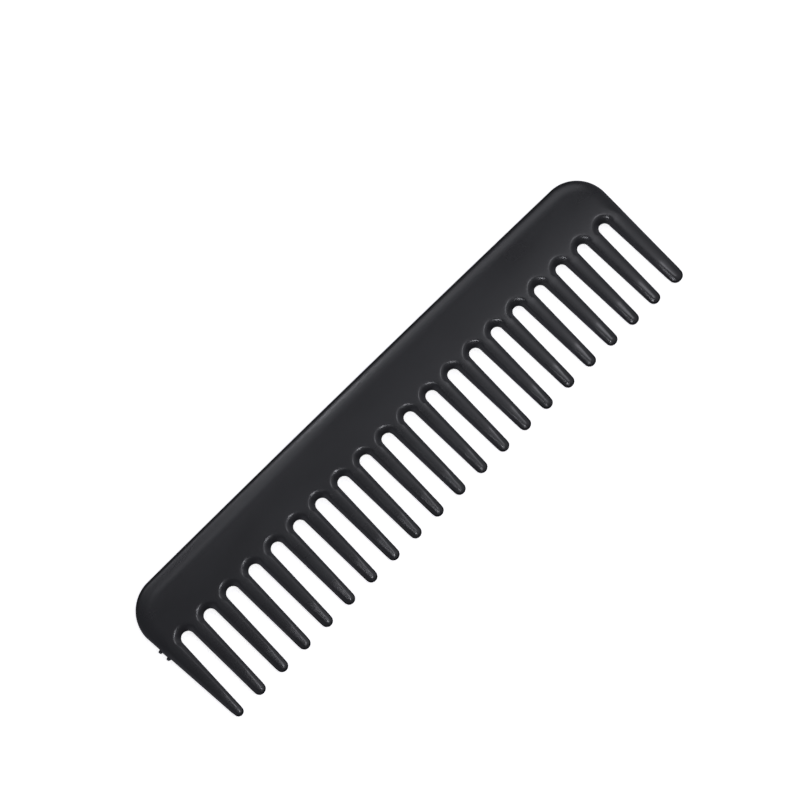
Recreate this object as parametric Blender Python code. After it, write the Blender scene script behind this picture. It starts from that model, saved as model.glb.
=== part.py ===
"""Wide tooth comb: a moulded spine with 21 tapered teeth, lying flat.

Frame: +X runs along the comb, +Y points to the back of the spine, so the teeth point to -Y, and +Z is up.
The origin is under the middle of the comb's outline, on the surface that it lies on.
Run it with blender --background --python part.py, or from the text editor. All sizes are in metres.
"""

import math

import bmesh
import bpy

# Plan view
LENGTH = 0.1907
WIDTH = 0.04675  # back edge to tooth tips, at mid-length
SPINE_DEPTH = 0.0178  # back edge to the crown of each slot
CORNER_RADIUS = 0.0114
TOOTH_COUNT = 21
PITCH = 0.00917
ROW_MIDDLE = 0.00033  # the row of teeth stands this much nearer the second end
SLOT_ROOT_WIDTH = 0.00414
SLOT_TIP_WIDTH = 0.0055
END_LEANS = (0.080, 0.021)  # how far the first and second end lean in, for each metre of depth below the corner
BOW = 0.00054  # the ends sit this much nearer the tips' side than the middle does

# Thickness and shoulders
THICKNESS = 0.0042
WALL_SHARE = 0.69  # share of the thickness that is upright side wall
TIP_START = 0.0386  # the depth from which a tooth thins faster
ROOT_THICKNESS_SHARE = 0.94  # a tooth's thickness at the seam, where its tip starts, and at its end
TIP_START_THICKNESS_SHARE = 0.76
END_THICKNESS_SHARE = 0.48
EDGE_SHOULDER = 0.0032  # plan width of the rounded shoulder along the back and the ends
TOOTH_SHOULDER_SHARE = 0.48  # shoulder width on a tooth, as a share of its half width
SCOOP_SHOULDER = 0.0020  # shoulder width at the crown of each slot

# Where the moulding is divided: the spine keeps this much of each tooth, and a small gap follows
TOOTH_ROOT = 0.0020
SEAM_GAP = 0.0003

# Snipped gate stubs on the first end
STUB_PROUD = 0.0009
STUB_ROOT = 0.0006  # how far a stub reaches into the moulding
STUB_WIDTH = 0.0013
STUB_HEIGHT = 0.0014
STUB_TAPER = 0.7
STUB_DEPTHS = (0.0171, 0.0202)

# Fineness of the round stretches
SHOULDER_STEPS = 3
SLOT_STEPS = 8
CORNER_STEPS = 7
BACK_STEPS = 10
SIDE_STEPS = 2
TIP_STEPS = 6

# Plastic
PLASTIC_COLOUR = (0.018, 0.019, 0.020, 1.0)
PLASTIC_ROUGHNESS = 0.38

HALF_LENGTH = LENGTH / 2
HALF_THICKNESS = THICKNESS / 2
SLOT_RADIUS = SLOT_ROOT_WIDTH / 2
ROOT_DEPTH = SPINE_DEPTH + SLOT_RADIUS  # where a slot's round crown ends and its straight sides begin
SEAM_DEPTH = ROOT_DEPTH + TOOTH_ROOT
BACK_Y = (WIDTH + BOW) / 2
SLOT_CENTRES = [ROW_MIDDLE + (i - (TOOTH_COUNT - 2) / 2) * PITCH for i in range(TOOTH_COUNT - 1)]


def clear_scene():
    for old in list(bpy.data.objects):
        bpy.data.objects.remove(old, do_unlink=True)


def black_plastic():
    """The one plastic that the whole comb is moulded from."""
    material = bpy.data.materials.new("black_plastic")
    material.use_nodes = True
    shader = material.node_tree.nodes["Principled BSDF"]
    shader.inputs["Base Color"].default_value = PLASTIC_COLOUR
    shader.inputs["Roughness"].default_value = PLASTIC_ROUGHNESS
    shader.inputs["Metallic"].default_value = 0.0
    return material


def placed(x, depth, z):
    """A point at a depth below the back edge, moved along with the comb's slight bow."""
    return (x, BACK_Y - depth - BOW * (x / HALF_LENGTH) ** 2, z + HALF_THICKNESS)


def slot_half_width(depth):
    share = (depth - ROOT_DEPTH) / (WIDTH - ROOT_DEPTH)
    return (SLOT_ROOT_WIDTH + share * (SLOT_TIP_WIDTH - SLOT_ROOT_WIDTH)) / 2


def end_x(side, depth):
    """Where an end's side stands at a depth. Side is -1 for the first end and 1 for the second."""
    lean = END_LEANS[0] if side < 0 else END_LEANS[1]
    return side * (HALF_LENGTH - lean * max(0.0, depth - CORNER_RADIUS))


def shoulder_profile():
    """(share of the shoulder's width, share of the half thickness), from the wall's top to the face."""
    points = []
    for k in range(SHOULDER_STEPS + 1):
        turn = math.pi / 2 * k / SHOULDER_STEPS
        points.append((1 - math.cos(turn), WALL_SHARE + (1 - WALL_SHARE) * math.sin(turn)))
    return points


def close_flat(bm, loop):
    """Closes a flat face with one polygon."""
    bm.faces.new(loop)


def close_in_strips(bm, loop):
    """Closes a tooth's face with strips straight across from side to side, so that it can slope in stages."""
    last = len(loop) - 1
    for i in range(last // 2):
        corners = (loop[i], loop[i + 1], loop[last - i - 1], loop[last - i])
        bm.faces.new(list(dict.fromkeys(corners)))  # the last strip ends in the tip's one middle point


def shouldered_solid(outline, thickness_at, close_face):
    """A closed solid from an outline of (x, depth, inward x, inward depth, shoulder width) points.

    The side rises from the lower face, round the lower shoulder, up the wall, and round the upper shoulder.
    """
    profile = shoulder_profile()
    levels = [(inset, -height) for inset, height in reversed(profile)] + profile
    bm = bmesh.new()
    loops = []
    for inset, height in levels:
        loop = []
        for x, depth, in_x, in_depth, shoulder in outline:
            at_x = x + in_x * shoulder * inset
            at_depth = depth + in_depth * shoulder * inset
            z = height * HALF_THICKNESS * thickness_at(at_depth)
            loop.append(bm.verts.new(placed(at_x, at_depth, z)))
        loops.append(loop)
    count = len(outline)
    for lower, upper in zip(loops, loops[1:]):
        for i in range(count):
            j = (i + 1) % count
            bm.faces.new((lower[i], lower[j], upper[j], upper[i]))
    for loop in (loops[0], loops[-1]):
        close_face(bm, loop)
    bmesh.ops.recalc_face_normals(bm, faces=bm.faces)
    return bm


def spine_outline():
    """Anticlockwise from the first end's seam: the slots' lower edge, the second end, the back, the first end."""
    outline = [(end_x(-1, SEAM_DEPTH), SEAM_DEPTH, 1.0, 0.0, EDGE_SHOULDER)]
    for centre in SLOT_CENTRES:
        outline.extend(slot_notch(centre))
    outline.append((end_x(1, SEAM_DEPTH), SEAM_DEPTH, -1.0, 0.0, EDGE_SHOULDER))
    outline.extend(corner(1))
    for k in range(1, BACK_STEPS):
        x = (HALF_LENGTH - CORNER_RADIUS) * (1 - 2 * k / BACK_STEPS)
        outline.append((x, 0.0, 0.0, 1.0, EDGE_SHOULDER))
    outline.extend(reversed(corner(-1)))
    return outline


def slot_notch(centre):
    """The top of a slot: a half circle between two straight sides.

    Its shoulder widens towards the middle of the half circle into a scoop.
    """
    mouth = slot_half_width(SEAM_DEPTH)
    mouth_shoulder = TOOTH_SHOULDER_SHARE * (PITCH / 2 - mouth)
    tooth_shoulder = TOOTH_SHOULDER_SHARE * (PITCH / 2 - SLOT_RADIUS)
    points = [(centre - mouth, SEAM_DEPTH, -1.0, 0.0, mouth_shoulder)]
    for k in range(SLOT_STEPS + 1):
        turn = math.pi * k / SLOT_STEPS
        out_x = -math.cos(turn)
        up = math.sin(turn)
        shoulder = tooth_shoulder + (SCOOP_SHOULDER - tooth_shoulder) * up
        points.append((centre + SLOT_RADIUS * out_x, ROOT_DEPTH - SLOT_RADIUS * up, out_x, -up, shoulder))
    points.append((centre + mouth, SEAM_DEPTH, 1.0, 0.0, mouth_shoulder))
    return points


def corner(side):
    """The round corner of one end, from its side up to the back edge."""
    points = []
    for k in range(CORNER_STEPS + 1):
        turn = math.pi / 2 * k / CORNER_STEPS
        out_x = side * math.cos(turn)
        up = math.sin(turn)
        x = side * (HALF_LENGTH - CORNER_RADIUS) + CORNER_RADIUS * out_x
        points.append((x, CORNER_RADIUS * (1 - up), -out_x, up, EDGE_SHOULDER))
    return points


def tooth_sides(index, depth):
    """The left and right side of a tooth at a depth."""
    centre = ROW_MIDDLE + (index - (TOOTH_COUNT - 1) / 2) * PITCH
    left = centre - PITCH / 2 + slot_half_width(depth)
    right = centre + PITCH / 2 - slot_half_width(depth)
    if index == 0:
        left = end_x(-1, depth)
    if index == TOOTH_COUNT - 1:
        right = end_x(1, depth)
    return left, right


def tooth_outline(index):
    """Down the left side, round the tip, and up the right side."""
    tip_left, tip_right = tooth_sides(index, WIDTH)
    tip_radius = (tip_right - tip_left) / 2
    tip_x = (tip_right + tip_left) / 2
    straight_end = WIDTH - tip_radius
    start = SEAM_DEPTH + SEAM_GAP
    left_side = []
    right_side = []
    for k in range(SIDE_STEPS + 1):
        depth = start + (TIP_START - start) * k / SIDE_STEPS
        left, right = tooth_sides(index, depth)
        left_shoulder = TOOTH_SHOULDER_SHARE * (right - left) / 2
        right_shoulder = left_shoulder
        left_side.append((left, depth, 1.0, 0.0, left_shoulder))
        right_side.append((right, depth, -1.0, 0.0, right_shoulder))
    tip = []
    for k in range(TIP_STEPS + 1):
        turn = math.pi * k / TIP_STEPS
        out_x = -math.cos(turn)
        down = math.sin(turn)
        shoulder = TOOTH_SHOULDER_SHARE * tip_radius
        tip.append((tip_x + tip_radius * out_x, straight_end + tip_radius * down, -out_x, -down, shoulder))
    return left_side + tip + right_side[::-1]


def full_thickness(depth):
    return 1.0


def tooth_thickness(depth):
    """A tooth thins slowly down to where its tip starts, and faster from there."""
    if depth < TIP_START:
        share = (depth - SEAM_DEPTH) / (TIP_START - SEAM_DEPTH)
        return ROOT_THICKNESS_SHARE + (TIP_START_THICKNESS_SHARE - ROOT_THICKNESS_SHARE) * share
    share = (depth - TIP_START) / (WIDTH - TIP_START)
    return TIP_START_THICKNESS_SHARE + (END_THICKNESS_SHARE - TIP_START_THICKNESS_SHARE) * share


def add_object(name, bm, material):
    mesh = bpy.data.meshes.new(name)
    bm.to_mesh(mesh)
    bm.free()
    mesh.materials.append(material)
    mesh.shade_smooth()
    mesh.set_sharp_from_angle(angle=math.radians(50))
    solid = bpy.data.objects.new(name, mesh)
    bpy.context.scene.collection.objects.link(solid)
    return solid


def add_gate_stubs(spine, material):
    """Joins the small snipped stubs, square and tapering outwards, to the first end of the spine."""
    reach = STUB_PROUD + STUB_ROOT
    for number, depth in enumerate(STUB_DEPTHS, start=1):
        bm = bmesh.new()
        bmesh.ops.create_cube(bm, size=1.0)
        x, y, z = placed(end_x(-1, depth) + STUB_ROOT - reach / 2, depth, 0.0)
        for vert in bm.verts:
            taper = STUB_TAPER if vert.co.x < 0 else 1.0
            vert.co.x = x + vert.co.x * reach
            vert.co.y = y + vert.co.y * STUB_WIDTH * taper
            vert.co.z = z + vert.co.z * STUB_HEIGHT * taper
        stub = add_object(f"gate_stub_{number}", bm, material)
        stub.hide_render = True
        stub.display_type = "WIRE"
        union = spine.modifiers.new(f"gate stub {number}", "BOOLEAN")
        union.operation = "UNION"
        union.solver = "EXACT"
        union.object = stub


def build():
    clear_scene()
    material = black_plastic()
    spine = add_object("spine", shouldered_solid(spine_outline(), full_thickness, close_flat), material)
    add_gate_stubs(spine, material)
    for index in range(TOOTH_COUNT):
        solid = shouldered_solid(tooth_outline(index), tooth_thickness, close_in_strips)
        add_object(f"tooth_{index + 1:02d}", solid, material)


build()
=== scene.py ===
"""The looks of the wide tooth comb: one satin black moulding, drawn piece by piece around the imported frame.

A plan position is x along the comb and a depth below the straight back edge. All sizes are in metres.
"""

import math
from collections import namedtuple

import bpy
import numpy as np
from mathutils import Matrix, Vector
from mathutils.geometry import delaunay_2d_cdt


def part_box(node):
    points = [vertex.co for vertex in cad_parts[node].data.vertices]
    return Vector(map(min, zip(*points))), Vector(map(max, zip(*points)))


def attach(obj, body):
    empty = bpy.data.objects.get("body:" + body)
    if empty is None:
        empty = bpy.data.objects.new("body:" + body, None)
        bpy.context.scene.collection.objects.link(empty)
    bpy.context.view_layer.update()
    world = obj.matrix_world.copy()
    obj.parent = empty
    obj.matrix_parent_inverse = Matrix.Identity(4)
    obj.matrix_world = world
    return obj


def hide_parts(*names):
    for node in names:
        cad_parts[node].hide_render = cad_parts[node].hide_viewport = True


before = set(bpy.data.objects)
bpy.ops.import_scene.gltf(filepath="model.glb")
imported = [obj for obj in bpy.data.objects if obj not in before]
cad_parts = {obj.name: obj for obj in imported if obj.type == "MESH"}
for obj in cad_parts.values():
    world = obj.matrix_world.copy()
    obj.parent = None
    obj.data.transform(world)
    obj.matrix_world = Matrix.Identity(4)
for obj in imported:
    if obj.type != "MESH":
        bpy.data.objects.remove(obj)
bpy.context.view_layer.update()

# From the frame
TEETH = sorted(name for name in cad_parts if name.startswith("tooth_"))
TOOTH_COUNT = len(TEETH)
SPINE_LOW, SPINE_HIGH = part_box("spine")
MIDDLE_LOW, MIDDLE_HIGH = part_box(TEETH[TOOTH_COUNT // 2])
NEXT_LOW, NEXT_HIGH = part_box(TEETH[TOOTH_COUNT // 2 + 1])
FIRST_LOW, FIRST_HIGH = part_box(TEETH[0])
HALF_THICKNESS = (SPINE_HIGH.z - SPINE_LOW.z) / 2
MIDDLE_Z = (SPINE_HIGH.z + SPINE_LOW.z) / 2
BACK_Y = SPINE_HIGH.y
HALF_LENGTH = SPINE_HIGH.x
WIDTH = BACK_Y - MIDDLE_LOW.y
SEAM_DEPTH = BACK_Y - MIDDLE_HIGH.y
ROW_MIDDLE = (MIDDLE_LOW.x + MIDDLE_HIGH.x) / 2
PITCH = (NEXT_LOW.x + NEXT_HIGH.x) / 2 - ROW_MIDDLE
BOW = (MIDDLE_LOW.y - FIRST_LOW.y) * (HALF_LENGTH / (FIRST_LOW.x + FIRST_HIGH.x) * 2) ** 2

# Plan shape, as in the CAD
SPINE_DEPTH = 0.0178
CORNER_RADIUS = 0.0114
SLOT_ROOT_WIDTH = 0.00414
SLOT_TIP_WIDTH = 0.0055
END_LEANS = (0.080, 0.021)  # of the first and second end
SLOT_RADIUS = SLOT_ROOT_WIDTH / 2
ROOT_DEPTH = SPINE_DEPTH + SLOT_RADIUS
SLOT_CENTRES = [ROW_MIDDLE + (i - (TOOTH_COUNT - 2) / 2) * PITCH for i in range(TOOTH_COUNT - 1)]

# Faces: the spine is gently crowned, each tooth thins towards its tip and is crowned across
CROWN_CENTRE = 0.0098
CROWN_FALL = 0.11
TOOTH_FALL = 0.16
TIP_START = 0.0386
TIP_SOFTNESS = 0.0007
TOOTH_SLOPE = 9.0  # fall of the half thickness, as a share of it, for each metre along a tooth
TIP_SLOPE = 26.0  # the extra fall past TIP_START
EASE_DEPTH = 0.004  # the crown's slope eases into the tooth's over about this length

# Shoulders: plan width, fall from the face to the wall as a share of the half thickness, and how straight
# the slope between them is (0 is a curve that steepens into the wall, 1 a chamfer with a soft upper edge)
BACK_SHOULDER = (0.0050, 0.46, 0.0)
TOOTH_SHOULDER = (0.48, 0.34, 0.7)  # its width is a share of the tooth's half width
TIP_SHOULDER = (0.9, 0.6, 0.2)
SCOOP_SHOULDER = (0.0027, 0.52, 0.65)
SCOOP_FLAT = 0.0003  # the scoop's rim comes in by this much half way down each side, to run straighter
SCOOP_FLAT_TURN = math.radians(49)  # where that is, above the slot's straight sides
SCOOP_FLAT_SPREAD = math.radians(22)
RIM_SOFTNESS = 0.7  # how far out a chamfer's soft upper edge reaches, as a share of the shoulder
EDGE_SHARE = 0.22  # the outermost share of a curved shoulder, which turns down into the wall
EDGE_FALL = 0.45  # the share of the fall that this turn makes
SHARP_TURN = math.radians(70)  # edges that turn more than this are shaded as sharp

# Snipped gate stubs on the first end, with a thread of flash between them
STUB_DEPTHS = (0.0171, 0.0202)
STUB_PROUD = 0.00085
STUB_WIDTH = 0.0013
STUB_HALF_HEIGHT = 0.0007
STUB_ROUNDING = (0.55, 1.05)  # where a stub's fall to the wall starts and ends, in half widths of the stub
STUB_LEDGE = 0.12  # from a stub's top up to the plain wall, as a share of the wall's half height
LOWER_WALL = (0.2, 0.04)  # heights of the lowest points above the parting line, as shares of the same
FLASH_PROUD = 0.0002
PARTING_PROUD = 0.00003

# The plastic: features to the metre along x, y and z, heights in metres
FLOW_STRETCH = (14.0, 70.0, 70.0)
CLOUD_STRETCH = (45.0, 90.0, 90.0)
PEEL_STRETCH = (700.0, 700.0, 700.0)
FLOW_ROUGHNESS = (0.24, 0.31)
CLOUD_ROUGHNESS = (0.0, 0.03)
WORN_ROUGHNESS = -0.015
FLOW_HEIGHT = 0.00003
PEEL_HEIGHT = 0.0000013
DEEP_BLACK = (0.0085, 0.0088, 0.0098, 1.0)
GREYED_BLACK = (0.0115, 0.012, 0.0135, 1.0)
COAT_WEIGHT = 0.22
COAT_ROUGHNESS = 0.16
FLOW_SPAN = (0.3, 0.7)  # the part of each noise that is spread over its range of roughness
CLOUD_SPAN = (0.35, 0.65)
TINT_SPAN = (0.7, 1.3)  # the same for the sum of both noises, from deep black to greyed
NOISE_DETAIL = 2.0
WORN = "worn"
WORN_FROM = 0.030  # the depth at which polish from use begins, growing towards the tips

# The studio
STUDIO_RADIUS = 3.0
STUDIO_CURVE = 1.8
STUDIO_FLOOR_RINGS = (0.3, 0.7)
STUDIO_SIDES = 96
STUDIO_STEPS = 12
FLOOR_CLEARANCE = 0.0001
STUDIO_WHITE = 0.8
STUDIO_ROUGHNESS = 0.9
STUDIO_GLOW = 0.8
SKY_HEIGHTS = (0.3, 0.9)  # from the dark horizon up to the brighter overhead
SKY_GLOW = (0.10, 0.235)
SIDE_REACH = (0.5, 0.95)  # how far to the left or right the sky brightens again
SIDE_GLOW = 0.45
SKY_TINT = (0.88, 0.885, 1.0, 1.0)
LAMP_TINT = (0.93, 0.935, 1.0)

# Softboxes, all aimed at the comb: place, width and height, and watts
SOFTBOXES = {
    "front_softbox": ((-0.0145, -0.11, 0.35), (0.05, 0.05), 0.15),
    "far_softbox": ((0.45, -0.14, 1.5), (0.12, 0.12), 0.95),
    "back_softbox": ((0.05, 0.3, 0.55), (0.05, 0.03), 0.08),
    "top_softbox": ((-0.04, 0.19, 0.6), (0.14, 0.06), 0.052),
    "back_strip": ((0.1, 0.3, 0.55), (0.6, 0.09), 0.3),
    "side_softbox": ((0.36, -0.16, 0.6), (0.4, 0.3), 0.16),
}

# The camera
LENS = 90.0  # millimetres, like the sensor's width
SENSOR_WIDTH = 36.0
CAMERA_PLACE = (-0.07193, -0.04622, 0.58834)
CAMERA_TURN = (9.205, -1.576, -44.813)  # degrees

# Fineness
SLOT_STEPS = 24
SLOT_SIDE_STEPS = 4
SEAM_STEPS = 8
CORNER_STEPS = 32
BACK_STEPS = 110
END_SIDE_STEPS = 70
TOOTH_STEPS = 24
TIP_STEPS = 24
SHOULDER_STEPS = 14
LAND_SPACING = 0.0009
LAND_CLEARANCE = 0.00012
TOOTH_LAND_ROWS = 60
TOOTH_LAND_COLUMNS = (-0.75, -0.4, 0.0, 0.4, 0.75)

# A point of an outline: its plan position, the way and distance inwards across its shoulder, how far the
# shoulder falls, how straight it is, and how far the middle of the wall stands proud
Edge = namedtuple("Edge", "x depth reach_x reach_depth fall straight proud")


def smooth_step(low, high, value):
    share = min(1.0, max(0.0, (value - low) / (high - low)))
    return share * share * (3 - 2 * share)


def mix(a, b, share):
    return a + (b - a) * share


def placed(x, depth, z):
    """A point of the comb, moved along with its slight bow."""
    return (x, BACK_Y - depth - BOW * (x / HALF_LENGTH) ** 2, MIDDLE_Z + z)


def half_thickness(x, depth):
    """Half the comb's thickness at a plan position, before any shoulder."""
    share = (min(depth, ROOT_DEPTH) - CROWN_CENTRE) / CROWN_CENTRE
    height = 1 - CROWN_FALL * share * share
    below = max(0.0, depth - ROOT_DEPTH)
    extra_slope = 2 * CROWN_FALL / CROWN_CENTRE - TOOTH_SLOPE
    height -= TOOTH_SLOPE * below + extra_slope * EASE_DEPTH * (1 - math.exp(-below / EASE_DEPTH))
    past = depth - TIP_START
    height -= TIP_SLOPE * (math.hypot(past, TIP_SOFTNESS) + past) / 2
    across = (1 - math.cos(2 * math.pi * (x - ROW_MIDDLE) / PITCH)) / 2
    height -= TOOTH_FALL * across * smooth_step(SPINE_DEPTH - 0.002, SEAM_DEPTH, depth)
    return HALF_THICKNESS * height


def slot_half_width(depth):
    share = (depth - ROOT_DEPTH) / (WIDTH - ROOT_DEPTH)
    return mix(SLOT_ROOT_WIDTH, SLOT_TIP_WIDTH, share) / 2


def end_x(side, depth):
    """Where an end's side stands at a depth. Side is -1 for the first end and 1 for the second."""
    lean = END_LEANS[0] if side < 0 else END_LEANS[1]
    return side * (HALF_LENGTH - lean * max(0.0, depth - CORNER_RADIUS))


def tooth_sides(index, depth):
    """The left and right side of a tooth at a depth."""
    centre = ROW_MIDDLE + (index - (TOOTH_COUNT - 1) / 2) * PITCH
    half = PITCH / 2 - slot_half_width(depth)
    left = end_x(-1, depth) if index == 0 else centre - half
    right = end_x(1, depth) if index == TOOTH_COUNT - 1 else centre + half
    return left, right


def tooth_shoulder(index, depth):
    """The shoulder of a tooth's side at a depth, which takes up more of the tooth towards the tip."""
    left, right = tooth_sides(index, depth)
    share = smooth_step(TIP_START - 0.002, WIDTH, depth)
    width, fall, straight = [mix(a, b, share) for a, b in zip(TOOTH_SHOULDER, TIP_SHOULDER)]
    return width * (right - left) / 2, fall, straight


def stub_proud(depth):
    """How far the gate's remains stand out of the first end at a depth."""
    proud = FLASH_PROUD * (STUB_DEPTHS[0] < depth < STUB_DEPTHS[1])
    for stub in STUB_DEPTHS:
        off = abs(depth - stub) / (STUB_WIDTH / 2)
        proud = max(proud, STUB_PROUD * (1 - smooth_step(*STUB_ROUNDING, off)))
    return proud


def tooth_edge(index, side, depth):
    """A point on a tooth's side. Side is -1 for the left and 1 for the right."""
    left, right = tooth_sides(index, depth)
    width, fall, straight = tooth_shoulder(index, depth)
    x = left if side < 0 else right
    outer = (index == 0 and side < 0) or (index == TOOTH_COUNT - 1 and side > 0)
    if outer:
        share = smooth_step(CORNER_RADIUS, SEAM_DEPTH, depth)
        width = mix(BACK_SHOULDER[0], width, share)
        fall = mix(BACK_SHOULDER[1], fall, share)
        straight = mix(BACK_SHOULDER[2], straight, share)
    proud = stub_proud(depth) if index == 0 and side < 0 else 0.0
    return Edge(x, depth, -side * width, 0.0, fall, straight, proud)


def between(a, b, steps):
    """The points strictly between two edges of a seam, where the shoulders cross over."""
    return [Edge(*(mix(p, q, k / steps) for p, q in zip(a, b))) for k in range(1, steps)]


def slot_notch(index):
    """The top of the slot to the right of a tooth: a half circle between two straight sides."""
    depths = [mix(SEAM_DEPTH, ROOT_DEPTH, k / SLOT_SIDE_STEPS) for k in range(SLOT_SIDE_STEPS)]
    left_side = [tooth_edge(index, 1, depth) for depth in depths]
    right_side = [tooth_edge(index + 1, -1, depth) for depth in reversed(depths)]
    crown = []
    for k in range(SLOT_STEPS + 1):
        turn = math.pi * k / SLOT_STEPS
        out_x = -math.cos(turn)
        up = math.sin(turn)
        side = tooth_shoulder(index if out_x < 0 else index + 1, ROOT_DEPTH)
        width, fall, straight = [mix(a, b, 1 - (1 - up) ** 2) for a, b in zip(side, SCOOP_SHOULDER)]
        width -= SCOOP_FLAT * math.exp(-(((math.asin(up) - SCOOP_FLAT_TURN) / SCOOP_FLAT_SPREAD) ** 2))
        x = SLOT_CENTRES[index] + SLOT_RADIUS * out_x
        depth = ROOT_DEPTH - SLOT_RADIUS * up
        crown.append(Edge(x, depth, out_x * width, -up * width, fall, straight, 0.0))
    return left_side + crown + right_side


def corner(side):
    """The round corner of one end, from its side up to the back edge."""
    width, fall, straight = BACK_SHOULDER
    points = []
    for k in range(CORNER_STEPS + 1):
        turn = math.pi / 2 * k / CORNER_STEPS
        out_x = side * math.cos(turn)
        up = math.sin(turn)
        x = side * (HALF_LENGTH - CORNER_RADIUS) + CORNER_RADIUS * out_x
        points.append(Edge(x, CORNER_RADIUS * (1 - up), -out_x * width, up * width, fall, straight, 0.0))
    return points


def end_side(index, side):
    """One end of the spine, from the seam up to the corner."""
    steps = END_SIDE_STEPS if side < 0 else END_SIDE_STEPS // 4
    return [tooth_edge(index, side, mix(SEAM_DEPTH, CORNER_RADIUS, k / steps)) for k in range(steps)]


def spine_outline():
    """Anticlockwise: the slots' lower edge, the second end, the back, and the first end."""
    outline = []
    for index in range(TOOTH_COUNT):
        left = tooth_edge(index, -1, SEAM_DEPTH)
        right = tooth_edge(index, 1, SEAM_DEPTH)
        outline.extend(between(left, right, SEAM_STEPS))
        if index < TOOTH_COUNT - 1:
            outline.extend(slot_notch(index))
    outline.extend(end_side(TOOTH_COUNT - 1, 1))
    outline.extend(corner(1))
    width, fall, straight = BACK_SHOULDER
    for k in range(1, BACK_STEPS):
        x = (HALF_LENGTH - CORNER_RADIUS) * (1 - 2 * k / BACK_STEPS)
        outline.append(Edge(x, 0.0, 0.0, width, fall, straight, 0.0))
    outline.extend(reversed(corner(-1)))
    outline.extend(reversed(end_side(0, -1)))
    return outline


def spine_land():
    """Points spread over the spine's face; those outside its outline are dropped later."""
    columns = int(2 * HALF_LENGTH / LAND_SPACING)
    rows = int(SEAM_DEPTH / LAND_SPACING)
    points = []
    for i in range(columns + 1):
        for j in range(1, rows + 1):
            points.append((mix(-HALF_LENGTH, HALF_LENGTH, i / columns), SEAM_DEPTH * (j - 0.5) / rows))
    return points


def tooth_tip(index):
    """The middle, depth and radius of the half circle that ends a tooth."""
    left, right = tooth_sides(index, WIDTH)
    radius = (right - left) / 2
    return (right + left) / 2, WIDTH - radius, radius


def tooth_outline(index):
    """Anticlockwise: down the left side, round the tip, up the right side, and back along the seam."""
    middle, straight_end, radius = tooth_tip(index)
    depths = [mix(SEAM_DEPTH, straight_end, k / TOOTH_STEPS) for k in range(TOOTH_STEPS)]
    left_side = [tooth_edge(index, -1, depth) for depth in depths]
    right_side = [tooth_edge(index, 1, depth) for depth in reversed(depths)]
    tip = []
    for k in range(TIP_STEPS + 1):
        turn = math.pi * k / TIP_STEPS
        out_x = -math.cos(turn)
        down = math.sin(turn)
        depth = straight_end + radius * down
        share, fall, straight = tooth_shoulder(index, depth)
        left, right = tooth_sides(index, depth)
        width = share * 2 / (right - left) * radius
        tip.append(Edge(middle + radius * out_x, depth, -out_x * width, -down * width, fall, straight, 0.0))
    return left_side + tip + right_side + between(right_side[-1], left_side[0], SEAM_STEPS)


def tooth_land(index):
    """Points in rows over a tooth's face."""
    points = []
    for k in range(TOOTH_LAND_ROWS):
        depth = mix(SEAM_DEPTH, WIDTH, (k + 0.5) / TOOTH_LAND_ROWS)
        left, right = tooth_sides(index, depth)
        half = (right - left) / 2 - tooth_shoulder(index, depth)[0]
        for across in TOOTH_LAND_COLUMNS:
            points.append(((left + right) / 2 + across * half, depth))
    return points


def shoulder_fall(t, straight):
    """How much of the fall is done at a share t of the way from the face's rim out to the wall."""
    slope = (math.hypot(t, RIM_SOFTNESS) - RIM_SOFTNESS) / (math.hypot(1, RIM_SOFTNESS) - RIM_SOFTNESS)
    past = max(0.0, 1 - (1 - t) / EDGE_SHARE)
    rounded = mix(t * t, 1 - math.sqrt(1 - past * past), EDGE_FALL)
    return mix(rounded, slope, straight)


def upper_column(edge):
    """The points under one edge, from the face's rim over the shoulder and down the wall to the middle."""
    reach = math.hypot(edge.reach_x, edge.reach_depth)
    out_x = -edge.reach_x / reach if reach else 0.0
    out_depth = -edge.reach_depth / reach if reach else 0.0
    column = []
    for k in range(SHOULDER_STEPS + 1):
        t = math.sin(math.pi / 2 * k / SHOULDER_STEPS)
        inwards = reach * (1 - t) + PARTING_PROUD
        x = edge.x - out_x * inwards
        depth = edge.depth - out_depth * inwards
        share = 1 - edge.fall * shoulder_fall(t, edge.straight)
        column.append((x, depth, half_thickness(x, depth) * share))
    x, depth, wall_top = column[-1]
    stub_top = STUB_HALF_HEIGHT / wall_top
    levels = [(stub_top + STUB_LEDGE, 0.0), (stub_top, edge.proud)]
    levels += [(share, edge.proud) for share in LOWER_WALL]
    for share, proud in levels:
        column.append((x + out_x * proud, depth + out_depth * proud, wall_top * share))
    proud = edge.proud + PARTING_PROUD
    column.append((x + out_x * proud, depth + out_depth * proud, 0.0))
    return column


def face_triangles(rim, land):
    """Triangles over the face inside its rim, and the land points that they use, numbered after the rim's."""
    spread = np.array(rim)
    inner = [p for p in land if np.min(np.hypot(*(spread - p).T)) > LAND_CLEARANCE]
    points = [Vector((x, -depth)) for x, depth in list(rim) + inner]
    loop = [list(range(len(rim)))]
    found, _, faces, origins, _, _ = delaunay_2d_cdt(points, [], loop, 1, 1e-9)
    number = [origin[0] for origin in origins]
    triangles = []
    for a, b, c in faces:
        flat = (found[b] - found[a]).cross(found[c] - found[a])
        corners = (a, b, c) if flat > 0 else (a, c, b)
        triangles.append([number[v] for v in corners])
    return triangles, inner


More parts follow.
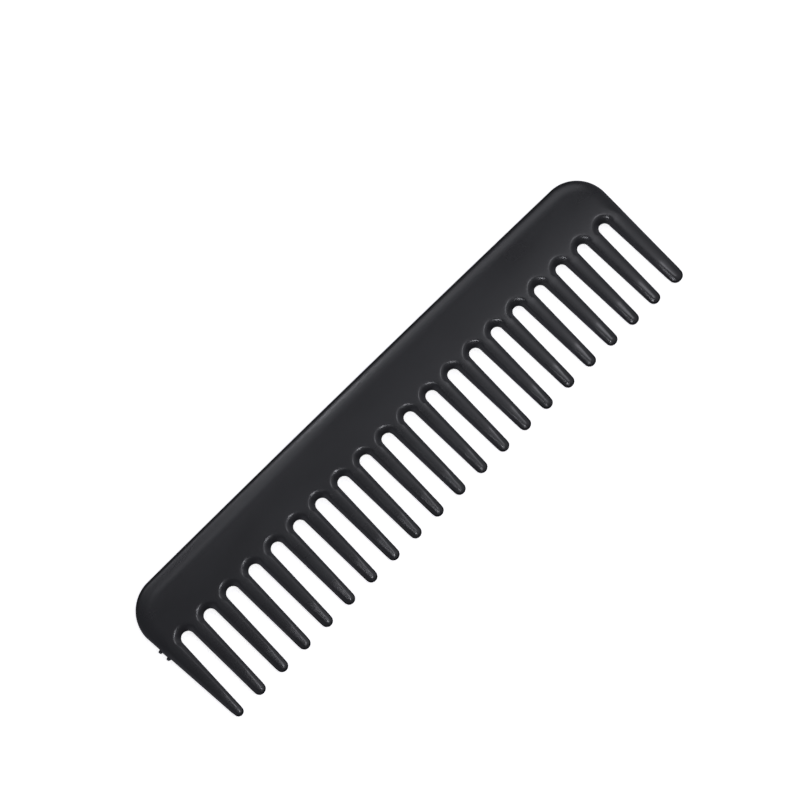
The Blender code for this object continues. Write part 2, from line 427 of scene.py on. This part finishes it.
def moulded_piece(name, outline, land):
    """A closed mesh from an outline: walls and shoulders all round, and the same face above and below."""
    columns = []
    for edge in outline:
        upper = upper_column(edge)
        lower = [(x, depth, -z) for x, depth, z in reversed(upper[:-1])]
        columns.append(upper + lower)
    height = len(columns[0])
    verts = [placed(*point) for column in columns for point in column]
    faces = []
    for i in range(len(columns)):
        here = i * height
        after = (i + 1) % len(columns) * height
        for k in range(height - 1):
            faces.append((here + k, here + k + 1, after + k + 1, after + k))
    rim = [column[0][:2] for column in columns]
    triangles, inner = face_triangles(rim, land)
    for side in (1, -1):
        first = len(verts)
        verts.extend(placed(x, depth, side * half_thickness(x, depth)) for x, depth in inner)
        on_rim = 0 if side > 0 else height - 1
        for triangle in triangles:
            corners = [v * height + on_rim if v < len(rim) else first + v - len(rim) for v in triangle]
            faces.append(corners if side > 0 else corners[::-1])
    mesh = bpy.data.meshes.new(name)
    mesh.from_pydata(verts, [], faces)
    mesh.validate()
    mesh.shade_smooth()
    mesh.set_sharp_from_angle(angle=SHARP_TURN)
    worn = mesh.attributes.new(WORN, "FLOAT", "POINT")
    for spot, vertex in zip(worn.data, mesh.vertices):
        spot.value = smooth_step(WORN_FROM, WIDTH, BACK_Y - vertex.co.y)
    piece = bpy.data.objects.new(name, mesh)
    bpy.context.scene.collection.objects.link(piece)
    return piece


def add_node(tree, kind, **values):
    """A shader node with some of its inputs set."""
    node = tree.nodes.new(kind)
    for name, value in values.items():
        node.inputs[name.replace("_", " ")].default_value = value
    return node


def noise(tree, place, stretch):
    """Noise with so many features to the metre along x, y and z."""
    mapping = add_node(tree, "ShaderNodeMapping", Scale=stretch)
    texture = add_node(tree, "ShaderNodeTexNoise", Scale=1.0, Detail=NOISE_DETAIL)
    tree.links.new(place, mapping.inputs["Vector"])
    tree.links.new(mapping.outputs["Vector"], texture.inputs["Vector"])
    return texture.outputs["Fac"]


def remap(tree, value, low, high, to_low, to_high):
    """A value stretched from one range to another, and held inside it."""
    node = add_node(tree, "ShaderNodeMapRange", From_Min=low, From_Max=high, To_Min=to_low, To_Max=to_high)
    tree.links.new(value, node.inputs["Value"])
    return node.outputs["Result"]


def total(tree, *values):
    """The sum of some values."""
    result = values[0]
    for value in values[1:]:
        node = tree.nodes.new("ShaderNodeMath")
        tree.links.new(result, node.inputs[0])
        tree.links.new(value, node.inputs[1])
        result = node.outputs["Value"]
    return result


def black_plastic():
    """Satin black plastic with faint flow streaks along the comb, a fine orange peel and polished tips."""
    material = bpy.data.materials.new("satin_black_plastic")
    material.use_nodes = True
    tree = material.node_tree
    shader = tree.nodes["Principled BSDF"]
    shader.inputs["Coat Weight"].default_value = COAT_WEIGHT
    shader.inputs["Coat Roughness"].default_value = COAT_ROUGHNESS
    place = tree.nodes.new("ShaderNodeTexCoord").outputs["Object"]
    flow = noise(tree, place, FLOW_STRETCH)
    peel = noise(tree, place, PEEL_STRETCH)
    cloud = noise(tree, place, CLOUD_STRETCH)
    worn = tree.nodes.new("ShaderNodeAttribute")
    worn.attribute_name = WORN

    roughness = total(
        tree,
        remap(tree, flow, *FLOW_SPAN, *FLOW_ROUGHNESS),
        remap(tree, cloud, *CLOUD_SPAN, *CLOUD_ROUGHNESS),
        remap(tree, worn.outputs["Fac"], 0.0, 1.0, 0.0, WORN_ROUGHNESS),
    )
    tree.links.new(roughness, shader.inputs["Roughness"])

    greyness = remap(tree, total(tree, flow, cloud), *TINT_SPAN, 0.0, 1.0)
    tint = add_node(tree, "ShaderNodeMix")
    tint.data_type = "RGBA"
    tint.inputs["A"].default_value = DEEP_BLACK
    tint.inputs["B"].default_value = GREYED_BLACK
    tree.links.new(greyness, tint.inputs["Factor"])
    tree.links.new(tint.outputs["Result"], shader.inputs["Base Color"])

    height = total(
        tree,
        remap(tree, flow, 0.0, 1.0, 0.0, FLOW_HEIGHT),
        remap(tree, peel, 0.0, 1.0, 0.0, PEEL_HEIGHT),
    )
    bump = add_node(tree, "ShaderNodeBump", Strength=1.0, Distance=1.0)
    tree.links.new(height, bump.inputs["Height"])
    tree.links.new(bump.outputs["Normal"], shader.inputs["Normal"])
    return material


def make_comb():
    material = black_plastic()
    made = [("spine", spine_outline(), spine_land())]
    for index, node in enumerate(TEETH):
        made.append((node, tooth_outline(index), tooth_land(index)))
    for node, outline, land in made:
        piece = moulded_piece("moulded_" + node, outline, land)
        piece.data.materials.append(material)
        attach(piece, "root")
        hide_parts(node)


def make_studio():
    """A white floor that curves up all round into walls, and glows so that hardly any shadow shows."""
    profile = [(radius, 0.0) for radius in STUDIO_FLOOR_RINGS]
    for k in range(STUDIO_STEPS + 1):
        turn = math.pi / 2 * k / STUDIO_STEPS
        radius = STUDIO_RADIUS - STUDIO_CURVE * (1 - math.sin(turn))
        profile.append((radius, STUDIO_CURVE * (1 - math.cos(turn))))
    verts = []
    for radius, z in profile:
        for k in range(STUDIO_SIDES):
            turn = 2 * math.pi * k / STUDIO_SIDES
            verts.append((radius * math.cos(turn), radius * math.sin(turn), z - FLOOR_CLEARANCE))
    faces = [tuple(range(STUDIO_SIDES))]
    for ring in range(len(profile) - 1):
        for k in range(STUDIO_SIDES):
            a = ring * STUDIO_SIDES + k
            b = ring * STUDIO_SIDES + (k + 1) % STUDIO_SIDES
            faces.append((a, a + STUDIO_SIDES, b + STUDIO_SIDES, b))
    mesh = bpy.data.meshes.new("studio")
    mesh.from_pydata(verts, [], faces)
    mesh.shade_smooth()
    studio = bpy.data.objects.new("studio", mesh)
    bpy.context.scene.collection.objects.link(studio)
    material = bpy.data.materials.new("studio_white")
    material.use_nodes = True
    shader = material.node_tree.nodes["Principled BSDF"]
    shader.inputs["Base Color"].default_value = (STUDIO_WHITE, STUDIO_WHITE, STUDIO_WHITE, 1.0)
    shader.inputs["Roughness"].default_value = STUDIO_ROUGHNESS
    shader.inputs["Emission Color"].default_value = (1.0, 1.0, 1.0, 1.0)
    shader.inputs["Emission Strength"].default_value = STUDIO_GLOW
    mesh.materials.append(material)
    studio.visible_glossy = False
    studio.visible_diffuse = False
    studio.visible_shadow = False


def aim(thing, target):
    way = Vector(target) - thing.location
    thing.rotation_euler = way.to_track_quat("-Z", "Y").to_euler()


def add_softbox(name, place, size, watts):
    lamp = bpy.data.lights.new(name, "AREA")
    lamp.shape = "RECTANGLE"
    lamp.size, lamp.size_y = size
    lamp.energy = watts
    lamp.color = LAMP_TINT
    box = bpy.data.objects.new(name, lamp)
    box.location = place
    box.visible_camera = False
    bpy.context.scene.collection.objects.link(box)
    aim(box, (0, 0, 0))


def light_studio():
    """A dim sky, brighter overhead and far out to the left and right, and the softboxes."""
    world = bpy.data.worlds.new("studio")
    world.use_nodes = True
    tree = world.node_tree
    split = tree.nodes.new("ShaderNodeSeparateXYZ")
    tree.links.new(tree.nodes.new("ShaderNodeTexCoord").outputs["Generated"], split.inputs["Vector"])
    sideways = tree.nodes.new("ShaderNodeMath")
    sideways.operation = "ABSOLUTE"
    tree.links.new(split.outputs["X"], sideways.inputs[0])
    overhead = remap(tree, split.outputs["Z"], *SKY_HEIGHTS, *SKY_GLOW)
    windows = remap(tree, sideways.outputs["Value"], *SIDE_REACH, 0.0, SIDE_GLOW)
    tree.links.new(total(tree, overhead, windows), tree.nodes["Background"].inputs["Strength"])
    tree.nodes["Background"].inputs["Color"].default_value = SKY_TINT
    bpy.context.scene.world = world
    for name, (place, size, watts) in SOFTBOXES.items():
        add_softbox(name, place, size, watts)


def add_camera():
    """Almost straight above the comb, which runs from the lower left to the upper right of the view."""
    lens = bpy.data.cameras.new("camera")
    lens.sensor_width = SENSOR_WIDTH
    lens.lens = LENS
    camera = bpy.data.objects.new("camera", lens)
    camera.location = CAMERA_PLACE
    camera.rotation_euler = [math.radians(angle) for angle in CAMERA_TURN]
    bpy.context.scene.collection.objects.link(camera)
    bpy.context.scene.camera = camera


bpy.context.scene.view_settings.view_transform = "Standard"
make_comb()
make_studio()
light_studio()
add_camera()
